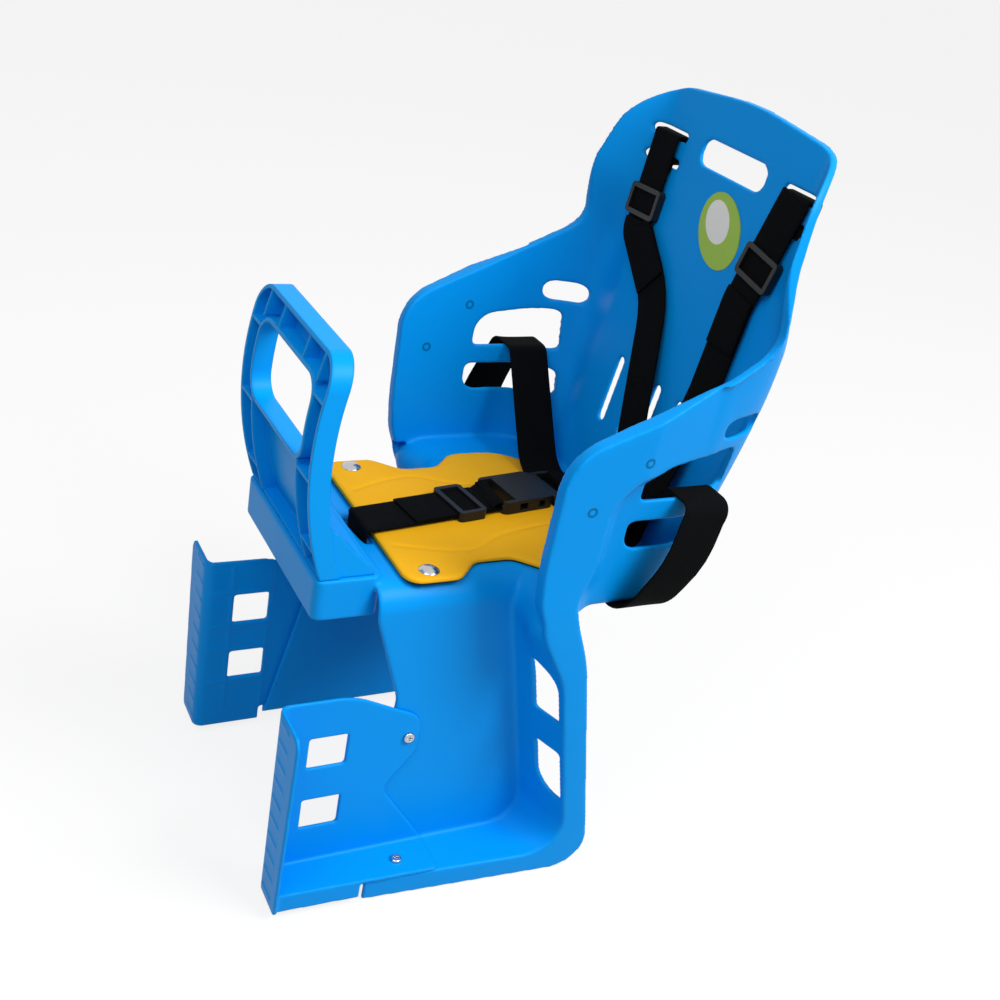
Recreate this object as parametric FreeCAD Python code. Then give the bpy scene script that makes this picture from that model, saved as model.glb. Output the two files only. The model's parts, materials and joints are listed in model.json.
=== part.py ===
import FreeCAD, Part
import math
import os

# Rear child bike seat, in millimetres. The origin is the middle of the four rack bolt holes on the
# underside of the seat pan. +Z is up, the child looks towards -Y, and +X is the child's left.

# Bucket: backrest and wings
wall = 4.0
seat_half_width = 133.0
top_half_width = 149.0
back_at_pan = 108.0
back_height = 336.0
back_shoulder_drop = 11.0
back_shoulder_inset = 31.0
back_shoulder_radius = 56.0
back_side_lean = math.radians(13.0)
recline = math.radians(9.0)
bucket_corner = 52.0
pan_edge = 7.0
wing_front = -31.0
wing_front_height = 128.0
wing_nose_radius = 40.0
wing_rear = 113.0
wing_rear_height = 192.0
wing_rear_radius = 55.0
back_edge_lean = math.radians(15.0)
wing_waist_z = 40.0
wing_waist_radius = 40.0
rim_foot = 50.0
rim_steepness = 0.9
rim_corner = 30.0
rim_facets = 5
rim_taper_start = 30.0
rim_taper_end = 80.0
back_flange_depth = 7.0
mark_radius = 4.0
mark_pin_radius = 2.0
mark_depth = 1.2
mark_low_y = -6.0
mark_low_z = 88.0
mark_high_y = 29.0
mark_high_z = 125.0

# Openings of the wings and the backrest
window_front = 37.0
window_rear = 108.0
window_sill = 89.0
window_top = 116.0
window_top_rise = 8.0
window_bottom = 49.0
window_bar = 17.0
window_nose_radius = 20.0
window_corner_radius = 5.0
low_window_lead = 4.0
low_window_radius = 11.0
oval_y = 108.0
oval_z = 140.0
oval_length = 24.0
oval_height = 16.0
head_hole_half = 41.0
head_hole_top = 300.0
head_hole_depth = 20.0
head_hole_radius = 9.0
strap_slot_inset = 13.0
strap_slot_z = 292.0
strap_slot_length = 42.0
strap_slot_height = 7.0
strap_slot_pitch = 21.0
slit_z = 60.0
slit_length = 56.0
slit_width = 8.0
slit_inner_x = 13.0
slit_outer_x = 44.0
slot_end = 0.45

# Saddle, leg channels and nose box
panel_half = 95.0
saddle_front = -126.0
saddle_shoulder = 20.0
panel_waist_y = -100.0
panel_waist_z = -95.0
rear_wall_at_pan = -24.0
leg_lean = math.radians(13.2)
rear_wall_splay = math.radians(19.5)
knee_radius = 22.0
heel_radius = 28.0
floor_top = -235.0
floor_front = -133.0
band_depth = 20.5
band_drop = 19.0
band_x = 146.3
band_toe_in = 0.065
band_lean = 0.037
band_join_z = 17.0
leg_slot_inset = 18.0
leg_slot_width = 24.0
leg_slot_height = 48.0
leg_slot_top = -55.0
leg_slot_gap = 32.0
nose_half = 81.0
nose_front = -170.0
nose_rear = -120.0
nose_top = 8.0
nose_height = 32.0
nose_radius = 7.0

# Rack bolt holes and pad
rack_hole_radius = 3.5
rack_pitch_x = 80.0
rack_pitch_y = 90.0
contact = 0.1
clearance = 0.3
pad_thickness = 5.0
pad_front = -106.0
pad_rear = 102.0
pad_tab_half = 92.0
pad_neck_half = 72.0
pad_seat_half = 93.0
pad_tab_radius = 14.0
pad_neck_radius = 16.0
pad_side_radius = 40.0
pad_rear_radius = 35.0
snap_x = 80.0
snap_y = -85.0
snap_radius = 8.0
snap_height = 3.0
snap_post_radius = 2.5

# Foot guards and their screws
guard_wall = 3.0
guard_front = -193.0
guard_top = -79.0
guard_bottom = -248.0
guard_rear = -62.0
guard_ear_y = -79.0
guard_ear_top = -110.0
guard_ear_bottom = -142.0
guard_notch_y = -103.0
guard_notch_z = -174.0
guard_floor_half = 134.0
guard_toe_half = 129.0
guard_top_half = 139.0
guard_bend = 8.0
guard_sweep_radius = 60.0
guard_ear_radius = 16.0
guard_notch_radius = 12.0
guard_heel_radius = 6.0
guard_window_y = -167.0
guard_window_z = -115.0
guard_window_width = 30.0
guard_window_height = 27.0
guard_window_pitch = 57.0
guard_rib = 1.6
guard_rib_count = 10
guard_rib_edge = 8.0
guard_grip = 1.0
screw_radius = 2.0
screw_head_radius = 4.5
screw_head_height = 2.6
screw_recess = 1.6
screw_play = 0.2
nut_radius = 4.0
nut_height = 3.2
panel_screw_y = -88.0
panel_screw_z = -127.0
floor_screw_x = 117.0
floor_screw_y = -91.0

# Grab bar
bar_half = 79.0
bar_top = 171.0
bar_corner = 22.0
bar_depth = 15.0
bar_skin = 3.0
bar_base_y = -167.0
bar_bow = 16.0
bar_window_low = 90.0
bar_window_high = 149.0
bar_window_half = 57.0
bar_window_radius = 16.0
bar_rib = 2.0
bar_upright_x = 51.0
bar_top_rib_x = 26.0
bar_cross_high = 141.0
bar_cross_mid = 85.0
bar_cross_low = 30.0
bar_flange_rear = -126.0
bar_gusset_height = 42.0
bar_boss_x = 52.0
bar_boss_y = -142.0
bar_boss_radius = 5.0
bar_boss_height = 12.0

# Harness
webbing = 1.6
wide_webbing = 36.0
narrow_webbing = 32.0
crotch_x = 10.0
crotch_y = -113.0
crotch_turn = 8.0
crotch_slot_play = 4.0
crotch_slot_width = 7.0
crotch_rod_radius = 2.5
crotch_rod_length = 52.0
crotch_tail = 40.0
adjuster_length = 25.0
adjuster_bar = 4.0
adjuster_rail = 3.6
adjuster_skin = 2.0
crotch_adjuster_y = 90.0
buckle_start = 118.0
buckle_length = 50.0
buckle_half = 22.0
buckle_height = 10.6
buckle_arm = 13.0
buckle_bar_radius = 1.8
buckle_skin = 2.4
buckle_radius = 6.0
prong_width = 5.0
prong_length = 27.0
prong_tip = 11.0
insert_length = 24.0
lap_y = 75.0
lap_low_y = 62.0
lap_inside = 126.0
lap_outside = 152.0
lap_bend = 8.0
shoulder_drift_left = 14.0
shoulder_drift_right = 4.0
shoulder_kink_z = 204.0
shoulder_slant_left = 67.0
shoulder_slant_right = -22.0
shoulder_slant_z = 166.0
shoulder_lift = 4.5
shoulder_turn = 24.0
shoulder_tail = 3.0
shoulder_adjuster_z = 236.0
shoulder_end_left = 65.0
shoulder_end_right = 31.0
shoulder_end_y = 62.0
shoulder_low_z = 40.0
shoulder_low_y = 98.0
snug = 0.9

back_shoulder_half = top_half_width - back_shoulder_inset
strap_slot_x = top_half_width - bucket_corner - strap_slot_inset
shoulder_kink_left = strap_slot_x - shoulder_drift_left
shoulder_kink_right = shoulder_drift_right - strap_slot_x


def side(point):
    return FreeCAD.Vector(0, point.x, point.y)


def front(point):
    return FreeCAD.Vector(point.x, 0, point.y)


def plan(point):
    return FreeCAD.Vector(point.x, point.y, 0)


# Closed wire through corners (u, v, radius), where a radius rounds its corner with an arc.
def outline(corners, place):
    bends = []
    for index, (u, v, radius) in enumerate(corners):
        here = FreeCAD.Vector(u, v, 0)
        before = FreeCAD.Vector(*corners[index - 1][:2], 0) - here
        after = FreeCAD.Vector(*corners[(index + 1) % len(corners)][:2], 0) - here
        before.normalize()
        after.normalize()
        half = before.getAngle(after) / 2
        reach = radius / math.tan(half)
        inward = (before + after).normalize() if radius else FreeCAD.Vector()
        middle = here + inward * (radius / math.sin(half) - radius)
        bends.append((here + before * reach, middle, here + after * reach, radius))
    edges = []
    for index, (start, middle, end, radius) in enumerate(bends):
        last = bends[index - 1][2]
        if (start - last).Length > 1e-6:
            edges.append(Part.LineSegment(place(last), place(start)).toShape())
        if radius:
            edges.append(Part.Arc(place(start), place(middle), place(end)).toShape())
    return Part.Wire(edges)


def prism(corners, place, start, run):
    face = Part.Face(outline(corners, place))
    face.translate(start)
    return face.extrude(run)


def side_prism(corners, x_from, x_to):
    return prism(corners, side, FreeCAD.Vector(x_from, 0, 0), FreeCAD.Vector(x_to - x_from, 0, 0))


def front_prism(corners, y_from, y_to):
    return prism(corners, front, FreeCAD.Vector(0, y_from, 0), FreeCAD.Vector(0, y_to - y_from, 0))


def plan_prism(corners, z_from, z_to):
    return prism(corners, plan, FreeCAD.Vector(0, 0, z_from), FreeCAD.Vector(0, 0, z_to - z_from))


def rectangle(u_from, u_to, v_from, v_to, radius=0.0):
    return [(u_from, v_from, radius), (u_to, v_from, radius), (u_to, v_to, radius), (u_from, v_to, radius)]


def box(x_from, x_to, y_from, y_to, z_from, z_to):
    corner = FreeCAD.Vector(x_from, y_from, z_from)
    return Part.makeBox(x_to - x_from, y_to - y_from, z_to - z_from, corner)


def mirrored(shape):
    return shape.mirror(FreeCAD.Vector(), FreeCAD.Vector(1, 0, 0))


def both(shape):
    return [shape, mirrored(shape)]


def rod(radius, start, run):
    return Part.makeCylinder(radius, run.Length, start, run)


# A length that clears the whole seat, for cutting tools.
beyond = 400.0


# Seat space inside the wings and the backrest, grown outwards by the given amount.
def bucket(grow):
    levels = []
    loft_top = back_height + wall
    for level, half in ((0.0, seat_half_width), (loft_top, top_half_width)):
        rear = back_at_pan + level * math.tan(recline) + grow
        radius = bucket_corner + grow
        corners = [(-half - grow, -beyond, 0), (half + grow, -beyond, 0)]
        corners += [(half + grow, rear, radius), (-half - grow, rear, radius)]
        wire = outline(corners, plan)
        wire.translate(FreeCAD.Vector(0, 0, level))
        levels.append(wire)
    return Part.makeLoft(levels, True, True)


# Outside of the bucket, with a rounded edge round its underside.
def bucket_outside():
    solid = bucket(wall)
    low = []
    for edge in solid.Edges:
        span = edge.BoundBox
        if span.ZMax < wall and span.YMax > wing_front:
            low.append(edge)
    return solid.makeFillet(pan_edge, low)


# Side view of what is kept of the bucket: the wing's waist, its front and sloping top, the backrest's edge.
def bucket_side():
    edge_top = wing_rear + (beyond - wing_rear_height) * math.tan(back_edge_lean)
    corners = [(wing_front, wing_waist_z, wing_waist_radius), (wing_waist_y, 0, wing_waist_radius)]
    corners += [(rear_wall_y(band_edge_x, -beyond), -beyond, 0)]
    corners += [(beyond, -beyond, 0), (beyond, beyond, 0), (edge_top, beyond, 0)]
    corners += [(wing_rear, wing_rear_height, wing_rear_radius)]
    corners += [(wing_front, wing_front_height, wing_nose_radius)]
    return Part.Face(outline(corners, side))


# Front view of the backrest: crowned top, round shoulders and sides that widen downwards.
def bucket_front():
    shoulder_z = back_height - back_shoulder_drop
    low_half = back_shoulder_half + (shoulder_z + beyond) * math.tan(back_side_lean)
    crown = back_shoulder_half * 3
    corners = [(-low_half, -beyond, 0), (low_half, -beyond, 0)]
    corners += [(back_shoulder_half, shoulder_z, back_shoulder_radius), (0, back_height, crown)]
    corners += [(-back_shoulder_half, shoulder_z, back_shoulder_radius)]
    return Part.Face(outline(corners, front))


def across(face):
    solid = face.extrude(FreeCAD.Vector(2 * beyond, 0, 0))
    solid.translate(FreeCAD.Vector(-beyond, 0, 0))
    return solid


def lengthwise(face):
    solid = face.extrude(FreeCAD.Vector(0, 2 * beyond, 0))
    solid.translate(FreeCAD.Vector(0, -beyond, 0))
    return solid


def bucket_walls():
    cavity = bucket(0)
    side_keep = across(bucket_side())
    front_face = bucket_front()
    front_keep = lengthwise(front_face)
    front_rim = lengthwise(front_face.cut(front_face.makeOffset2D(-wall)))
    outer = bucket_outside()
    plain = outer.cut(cavity).common(side_keep).common(front_keep)
    back_rim = bucket(back_flange_depth).cut(cavity).common(front_rim).common(side_keep)
    pan = outer.common(box(-beyond, beyond, pan_plate_front, beyond, 0, wall))
    return plain.multiFuse([back_rim, pan])


# Front face of a leg channel's rear wall at a width x and a height z.
def rear_wall_y(x, z):
    return rear_wall_at_pan + (x - panel_half) * math.tan(rear_wall_splay) - z * math.tan(leg_lean)


pan_plate_front = 30.0
rear_wall_thickness = wall / math.cos(leg_lean)
floor_under = floor_top - wall
band_bottom = floor_top - band_drop


def band_plane_x(y, z):
    return band_x + band_toe_in * y + band_lean * z


band_edge_x = band_plane_x(0, floor_top / 2)
band_rear = rear_wall_y(band_edge_x, 0) + band_depth
wing_waist_y = rear_wall_y(band_edge_x, 0)


# Solid that lies outwards of the plane x = start + along * y + up * z.
def outside(start, along, up):
    corners = []
    for y, z in ((-beyond, -beyond), (beyond, -beyond), (beyond, beyond), (-beyond, beyond)):
        corners.append(FreeCAD.Vector(start + along * y + up * z, y, z))
    face = Part.Face(Part.makePolygon(corners + corners[:1]))
    return face.extrude(FreeCAD.Vector(2 * beyond, 0, 0))


# Solid that lies outwards of the leg band's plane, moved inwards by an inset.
def outboard(inset):
    return outside(band_x - inset, band_toe_in, band_lean)


# Raised rim of one wing: as far out as the leg band, sloping down to the window panel round a soft
# corner, and running out towards the backrest.
def wing_rim():
    lean = (top_half_width - seat_half_width) / (back_height + wall)
    panel_x = seat_half_width + wall
    slope = math.atan2(wing_rear_height - wing_front_height, wing_rear - wing_front)
    reach = rim_foot + rim_corner
    centre_y = wing_front + reach
    centre_z = wing_front_height - reach * (1 - math.sin(slope)) / math.cos(slope)
    field = None
    for step in range(rim_facets):
        angle = math.pi - (math.pi / 2 - slope) * step / (rim_facets - 1)
        along = rim_steepness * math.cos(angle)
        up = rim_steepness * math.sin(angle)
        start = panel_x - centre_y * along - centre_z * up - rim_corner * rim_steepness
        facet = outside(start, along, up + lean)
        field = field.common(facet) if field else facet
    start_x = band_plane_x(rim_taper_start, wing_front_height)
    end_x = panel_x + lean * wing_front_height
    fall = (end_x - start_x) / (rim_taper_end - rim_taper_start)
    taper = outside(start_x - fall * rim_taper_start - lean * wing_front_height, fall, lean)
    rim = across(bucket_side()).common(box(panel_half, beyond, -beyond, rim_taper_end, 0, beyond))
    return rim.cut(bucket(0)).cut(outboard(0)).cut(taper).cut(field)


# Round marks on the outside of one wing, each a shallow ring about a pin.
def wing_marks():
    cuts = []
    for y, z in ((mark_low_y, mark_low_z), (mark_high_y, mark_high_z)):
        start = FreeCAD.Vector(band_plane_x(y, z) - mark_depth, y, z)
        out = FreeCAD.Vector(beyond, 0, 0)
        cuts.append(rod(mark_radius, start, out).cut(rod(mark_pin_radius, start, out)))
    return cuts


# Space for the wheel between the two leg panels, below the saddle.
def wheel_space():
    half = panel_half - wall
    corners = [(-half, -beyond, 0), (half, -beyond, 0)]
    corners += [(half, 0, saddle_shoulder - wall), (-half, 0, saddle_shoulder - wall)]
    return front_prism(corners, -beyond, beyond)


# Saddle and both leg panels: one bent sheet that stands over the wheel.
def saddle():
    corners = [(-panel_half, -beyond, 0), (panel_half, -beyond, 0)]
    corners += [(panel_half, wall, saddle_shoulder), (-panel_half, wall, saddle_shoulder)]
    sheet = front_prism(corners, -beyond, beyond).cut(wheel_space())
    rear_top = rear_wall_y(panel_half, 0) + wall / 2
    rear_knee = rear_wall_y(panel_half, -knee_radius) + wall / 2
    rear_low = rear_wall_y(panel_half, floor_under) + wall / 2
    profile = [(saddle_front, wall * 2, 0), (pan_plate_front * 2, wall * 2, 0), (pan_plate_front * 2, 0, 0)]
    profile += [(rear_top + knee_radius, 0, 0), (rear_knee, -knee_radius, 0)]
    profile += [(rear_low, floor_under, 0), (floor_front, floor_under, 0)]
    profile += [(panel_waist_y, panel_waist_z, heel_radius), (saddle_front, -saddle_shoulder, heel_radius)]
    return sheet.common(side_prism(profile, -beyond, beyond))


# Rear wall and floor of one leg channel: a strip that rolls down from the pan and out to the toes.
def leg_strip():
    start_x = panel_half - saddle_shoulder * 2
    shift = (start_x - panel_half) * math.tan(rear_wall_splay)
    back = rear_wall_thickness
    corners = [(pan_plate_front + shift, wall, 0), (rear_wall_y(start_x, wall), wall, knee_radius)]
    corners += [(rear_wall_y(start_x, floor_top), floor_top, heel_radius), (floor_front + shift, floor_top, 0)]
    corners += [(floor_front + shift, floor_under, 0)]
    corners += [(rear_wall_y(start_x, floor_under) + back, floor_under, heel_radius + wall)]
    corners += [(rear_wall_y(start_x, 0) + back, 0, knee_radius - wall), (pan_plate_front + shift, 0, 0)]
    run = FreeCAD.Vector(1, math.tan(rear_wall_splay), 0) * beyond
    strip = prism(corners, side, FreeCAD.Vector(start_x, 0, 0), run)
    ledge = box(panel_half, beyond, band_rear, beyond, -knee_radius, wall).cut(bucket_outside())
    return strip.cut(wheel_space()).cut(outboard(0)).cut(ledge)


# Flange that borders one leg channel from the wing down round the heel to the toes.
def leg_band():
    toe = floor_front + (band_plane_x(floor_front, floor_top) - panel_half) * math.tan(rear_wall_splay)
    join = rear_wall_y(band_edge_x, band_join_z) + band_depth
    top = 2 * wing_waist_z
    corners = [(wing_front, top, 0), (wing_front, wing_waist_z, wing_waist_radius)]
    corners += [(wing_waist_y, 0, wing_waist_radius)]
    corners += [(rear_wall_y(band_edge_x, floor_top), floor_top, heel_radius), (toe, floor_top, 0)]
    corners += [(toe, band_bottom, 0)]
    corners += [(rear_wall_y(band_edge_x, band_bottom) + band_depth, band_bottom, heel_radius)]
    corners += [(join, band_join_z, wing_waist_radius), (join, top, 0)]
    return side_prism(corners, 0, beyond).common(outboard(wall)).cut(outboard(0))


def leg_slots():
    inner = panel_half + leg_slot_inset
    outer = inner + leg_slot_width
    low = leg_slot_top - leg_slot_height
    next_top = low - leg_slot_gap
    round_end = leg_slot_width - wall
    small = wall / 2
    bottom = next_top - leg_slot_height
    upper = [(inner, low, small), (outer, low, small)]
    upper += [(outer, leg_slot_top, round_end), (inner, leg_slot_top, small)]
    lower = [(inner, bottom, round_end), (outer, bottom, small)]
    lower += [(outer, next_top, small), (inner, next_top, small)]
    cuts = []
    for corners in (upper, lower):
        cuts += both(front_prism(corners, rear_wall_at_pan - heel_radius, beyond))
    return cuts


def nose_box():
    shell = plan_prism(rectangle(-nose_half, nose_half, nose_front, nose_rear, nose_radius),
                       nose_top - nose_height, nose_top)
    inside = nose_half - wall
    hollow = plan_prism(rectangle(-inside, inside, nose_front + wall, beyond, nose_radius - wall),
                        nose_top - nose_height, nose_top - wall)
    return shell.cut(hollow)


def wing_openings():
    cuts = []
    bar_low = window_sill - window_bar
    small = window_corner_radius
    upper = [(window_front, window_sill, small), (window_rear, window_sill, small)]
    upper += [(window_rear, window_top + window_top_rise, small)]
    upper += [(window_front, window_top, window_nose_radius)]
    low_front = window_front - low_window_lead
    lower = [(low_front, window_bottom, low_window_radius), (window_rear, window_bottom, small)]
    lower += [(window_rear, bar_low, small), (low_front, bar_low, small)]
    oval = rectangle(oval_y - oval_length / 2, oval_y + oval_length / 2,
                     oval_z - oval_height / 2, oval_z + oval_height / 2, oval_height * slot_end)
    for corners in (upper, lower, oval):
        cuts += both(side_prism(corners, panel_half, beyond))
    for mark in wing_marks():
        cuts += both(mark)
    return cuts


def back_openings():
    head_low = head_hole_top - head_hole_depth
    head = rectangle(-head_hole_half, head_hole_half, head_low, head_hole_top, head_hole_radius)
    cuts = [front_prism(head, pan_plate_front, beyond)]
    half_length = strap_slot_length / 2
    half_height = strap_slot_height / 2
    for level in (strap_slot_z, strap_slot_z - strap_slot_pitch):
        corners = rectangle(strap_slot_x - half_length, strap_slot_x + half_length,
                            level - half_height, level + half_height, strap_slot_height * slot_end)
        cuts += both(front_prism(corners, pan_plate_front, beyond))
    for x in (slit_inner_x, slit_outer_x):
        corners = rectangle(x - slit_width / 2, x + slit_width / 2, slit_z, slit_z + slit_length,
                            slit_width * slot_end)
        cuts += both(front_prism(corners, pan_plate_front, beyond))
    return cuts


# Holes for the rack bolts, the pad snaps, the crotch strap and the screws.
def pan_holes():
    down = FreeCAD.Vector(0, 0, -beyond)
    cuts = []
    for x in (-rack_pitch_x / 2, rack_pitch_x / 2):
        for y in (-rack_pitch_y / 2, rack_pitch_y / 2):
            cuts.append(rod(rack_hole_radius, FreeCAD.Vector(x, y, wall * 2), down))
    for x in (-snap_x, snap_x):
        cuts.append(rod(snap_post_radius + screw_play, FreeCAD.Vector(x, snap_y, wall * 2), down))
    half = wide_webbing / 2 + crotch_slot_play / 2
    width = crotch_slot_width / 2
    ends = crotch_slot_width * slot_end
    slot = plan_prism(rectangle(-half, half, -width, width, ends), -saddle_shoulder, wall * 2)
    cuts.append(on_pad(slot))
    for x in (-bar_boss_x, bar_boss_x):
        cuts.append(rod(screw_radius + screw_play, FreeCAD.Vector(x, bar_boss_y, nose_top * 2), down))
    for sign in (-1, 1):
        hole = screw_radius + screw_play
        out = FreeCAD.Vector(sign * beyond, 0, 0)
        cuts.append(rod(hole, FreeCAD.Vector(0, panel_screw_y, panel_screw_z), out))
        cuts.append(rod(hole, FreeCAD.Vector(sign * floor_screw_x, floor_screw_y, guard_top), down))
    return cuts


def seat_shell():
    legs = both(leg_strip()) + both(leg_band()) + both(wing_rim())
    shell = bucket_walls().multiFuse([saddle(), nose_box()] + legs)
    cuts = wing_openings() + back_openings() + leg_slots() + pan_holes()
    return shell.cut(Part.makeCompound(cuts)).removeSplitter()


# Turns a piece drawn along +Y from the crotch slot to the slant of the strap on the pad.
def on_pad(shape):
    turned = shape.copy()
    turned.rotate(FreeCAD.Vector(), FreeCAD.Vector(0, 0, 1), crotch_turn)
    turned.translate(FreeCAD.Vector(crotch_x, crotch_y, 0))
    return turned


guard_inner = panel_half + contact
guard_floor = floor_top + contact


# Left foot guard: a bent sheet of side panel and front wall, with a floor on the channel's floor.
def foot_guard():
    face = guard_inner + guard_wall
    bent = [(guard_inner, 0, 0), (guard_inner, guard_front, guard_bend), (beyond, guard_front, 0)]
    bent += [(beyond, guard_front + guard_wall, 0), (face, guard_front + guard_wall, guard_bend - guard_wall)]
    bent += [(face, 0, 0)]
    toe_step = floor_front - guard_wall
    keep = [(-beyond, guard_bottom, 0), (-beyond, guard_top, 0)]
    keep += [(toe_step, guard_top - guard_wall, guard_sweep_radius)]
    keep += [(guard_ear_y, guard_ear_top, guard_ear_radius)]
    keep += [(guard_ear_y, guard_ear_bottom, guard_notch_radius)]
    keep += [(guard_notch_y, guard_notch_z, guard_notch_radius)]
    keep += [(guard_rear, guard_floor + guard_wall, guard_heel_radius)]
    keep += [(guard_rear, guard_floor, 0), (toe_step, guard_floor, 0), (toe_step, guard_bottom, 0)]
    spread = [(0, guard_bottom, 0), (guard_toe_half + guard_wall, guard_bottom, guard_wall)]
    spread += [(guard_top_half, guard_top, guard_bend * 1.5), (0, guard_top, 0)]
    sheet = plan_prism(bent, guard_bottom, guard_top).common(side_prism(keep, 0, beyond))
    sheet = sheet.common(front_prism(spread, -beyond, beyond))
    base = [(guard_inner, guard_front, guard_bend), (guard_toe_half, guard_front, guard_bend / 2)]
    base += [(guard_floor_half, guard_rear, guard_bend / 2), (guard_inner, guard_rear, 0)]
    floor = plan_prism(base, guard_floor, guard_floor + guard_wall)
    lip_rear = floor_front + guard_bend
    slope = (guard_floor_half - guard_toe_half) / (guard_rear - guard_front)
    lip_half = guard_toe_half + slope * (lip_rear - guard_front)
    lip = [(guard_toe_half, guard_front + guard_wall, 0), (lip_half, lip_rear, 0)]
    lip += [(lip_half - guard_wall, lip_rear, 0), (guard_toe_half - guard_wall, guard_front + guard_wall, 0)]
    guard = sheet.multiFuse([floor, plan_prism(lip, guard_bottom, guard_floor + guard_wall)] + guard_ribs())
    cuts = []
    for level in (guard_window_z, guard_window_z - guard_window_pitch):
        window = rectangle(guard_window_y, guard_window_y + guard_window_width,
                           level - guard_window_height, level, guard_rib)
        cuts.append(side_prism(window, 0, face + guard_wall))
    hole = screw_radius + screw_play
    out = FreeCAD.Vector(beyond, 0, 0)
    down = FreeCAD.Vector(0, 0, -beyond)
    cuts.append(rod(hole, FreeCAD.Vector(0, panel_screw_y, panel_screw_z), out))
    cuts.append(rod(hole, FreeCAD.Vector(floor_screw_x, floor_screw_y, guard_top), down))
    return guard.cut(Part.makeCompound(cuts)).removeSplitter()


# Grip ribs across the guard's front wall and a grid of ribs on its wheel side.
def guard_ribs():
    ribs = []
    pitch = (guard_top - guard_bottom - 2 * guard_rib_edge) / (guard_rib_count - 1)
    for index in range(guard_rib_count):
        z = guard_bottom + guard_rib_edge + index * pitch
        ribs.append(box(guard_inner + guard_rib_edge, guard_toe_half - guard_rib_edge, guard_front - guard_grip,
                        guard_front + guard_rib, z - guard_rib / 2, z + guard_rib / 2))
    edge = guard_window_y - guard_wall
    far_edge = guard_window_y + guard_window_width
    side_from = guard_inner - guard_rib / 2
    for y in (edge, far_edge):
        ribs.append(box(side_from, guard_inner + guard_rib, y, y + guard_rib,
                        guard_bottom + guard_rib_edge * 2, guard_top - guard_rib_edge))
    for level in (guard_window_z, guard_window_z - guard_window_pitch):
        for z in (level + guard_wall, level - guard_window_height - guard_wall):
            ribs.append(box(side_from, guard_inner + guard_rib, guard_front + guard_bend, far_edge,
                            z - guard_rib / 2, z + guard_rib / 2))
    return ribs


# Cross-recess screw drawn with its head's underside at the origin and its shank down -Z.
def screw(length):
    head = Part.makeCylinder(screw_head_radius, screw_head_height)
    head = head.makeFillet(screw_head_height / 2, [head.Edges[0]])
    shank = rod(screw_radius, FreeCAD.Vector(), FreeCAD.Vector(0, 0, -length))
    arm = screw_head_radius / 2
    blade = screw_recess / 4
    floor = screw_head_height - screw_recess
    cross = box(-arm, arm, -blade, blade, floor, screw_head_height)
    cross = cross.fuse(box(-blade, blade, -arm, arm, floor, screw_head_height))
    return head.fuse(shank).cut(cross).removeSplitter()


def nut():
    corners = []
    for index in range(6):
        angle = math.radians(60 * index)
        corners.append((nut_radius * math.cos(angle), nut_radius * math.sin(angle), 0))
    hole = Part.makeCylinder(screw_radius + contact / 2, nut_height)
    return plan_prism(corners, 0, nut_height).cut(hole)


# Lays a piece drawn along Z so that its +Z points along a direction, with its origin at a place.
def aimed(shape, direction, place):
    laid = shape.copy()
    laid.Placement = FreeCAD.Placement(place, FreeCAD.Rotation(FreeCAD.Vector(0, 0, 1), direction))
    return laid


def guard_fasteners():
    grip = wall + contact + guard_wall
    length = grip + nut_height + screw_radius
    out = FreeCAD.Vector(1, 0, 0)
    up = FreeCAD.Vector(0, 0, 1)
    panel_head = FreeCAD.Vector(guard_inner + guard_wall, panel_screw_y, panel_screw_z)
    floor_head = FreeCAD.Vector(floor_screw_x, floor_screw_y, guard_floor + guard_wall)
    screws = []
    nuts = []
    for place, direction in ((panel_head, out), (floor_head, up)):
        screws += both(aimed(screw(length), direction, place))
        nuts += both(aimed(nut(), direction, place - direction * (grip + nut_height)))
    return Part.makeCompound(screws), Part.makeCompound(nuts)


# Side view of the grab bar between two depths behind its bowed front face, as a solid across the seat.
def bar_bow_solid(depth_from, depth_to):
    low = nose_top + contact
    high = bar_top + bar_depth
    arcs = []
    for depth in (depth_from, depth_to):
        y = bar_base_y + depth
        arcs.append(((y, low), (y - bar_bow, (low + high) / 2), (y, high)))
    near, far = [[FreeCAD.Vector(0, *point) for point in arc] for arc in arcs]
    edges = [Part.Arc(*near).toShape(), Part.makeLine(near[2], far[2])]
    edges += [Part.Arc(*far[::-1]).toShape(), Part.makeLine(far[0], near[0])]
    return across(Part.Face(Part.Wire(edges)))


def bar_window(grow):
    low = bar_window_low - grow
    high = bar_window_high + grow
    half = bar_window_half + grow
    return front_prism(rectangle(-half, half, low, high, bar_window_radius + grow), -beyond, 0)


# Ribs of the grab bar: uprights in the lower panel and top rail, bars across the side rails.
def bar_ribs():
    foot = nose_top + contact
    half = bar_rib / 2
    ribs = []
    for sign in (-1, 1):
        x = sign * bar_upright_x
        ribs.append(box(x - half, x + half, -beyond, 0, foot, bar_window_low))
        for x in (sign * bar_top_rib_x, sign * bar_window_half):
            ribs.append(box(x - half, x + half, -beyond, 0, bar_window_high, bar_top))
    for z in (bar_cross_high, bar_cross_mid, bar_cross_low):
        ribs += both(box(bar_upright_x, bar_half, -beyond, 0, z - half, z + half))
    return Part.makeCompound(ribs)


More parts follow.
